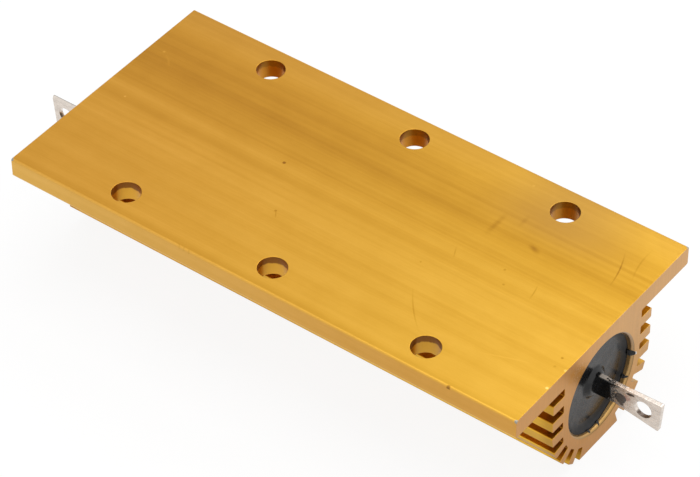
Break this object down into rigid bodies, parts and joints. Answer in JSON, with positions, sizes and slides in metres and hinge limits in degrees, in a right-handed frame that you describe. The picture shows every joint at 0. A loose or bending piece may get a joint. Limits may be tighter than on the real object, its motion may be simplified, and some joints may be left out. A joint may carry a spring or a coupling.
{
  "type": "aluminium housed power resistor",
  "caption": "Wirewound power resistor in a finned, gold anodised aluminium extrusion with a drilled mounting plate and a pierced tinned terminal at each end.",
  "frame": {"origin": "on the surface the part lies on, under the middle of its bounding box; the part lies on its flat crown, mounting plate uppermost", "axes": "+X along the body towards the terminal with the shorter blade, +Y across the body, +Z out of the mounting face"},
  "size_m": [0.1207, 0.0466, 0.0235],
  "materials": {
    "housing": "gold anodised, with fine drawing lines along the body and sawn ends",
    "moulding": "smooth black silicone moulding",
    "terminal": "solder-tinned, slightly wavy",
    "ceramic": "unglazed steatite",
    "winding": "oxidised resistance alloy",
    "cap": "plated steel"
  },
  "bodies": {
    "root": {"housing": "housing", "silicone_moulding": "moulding", "ceramic_core": "ceramic", "resistance_winding": "winding", "end_cap_left": "cap", "end_cap_right": "cap", "terminal_left": "terminal", "terminal_right": "terminal"}
  },
  "joints": []
}
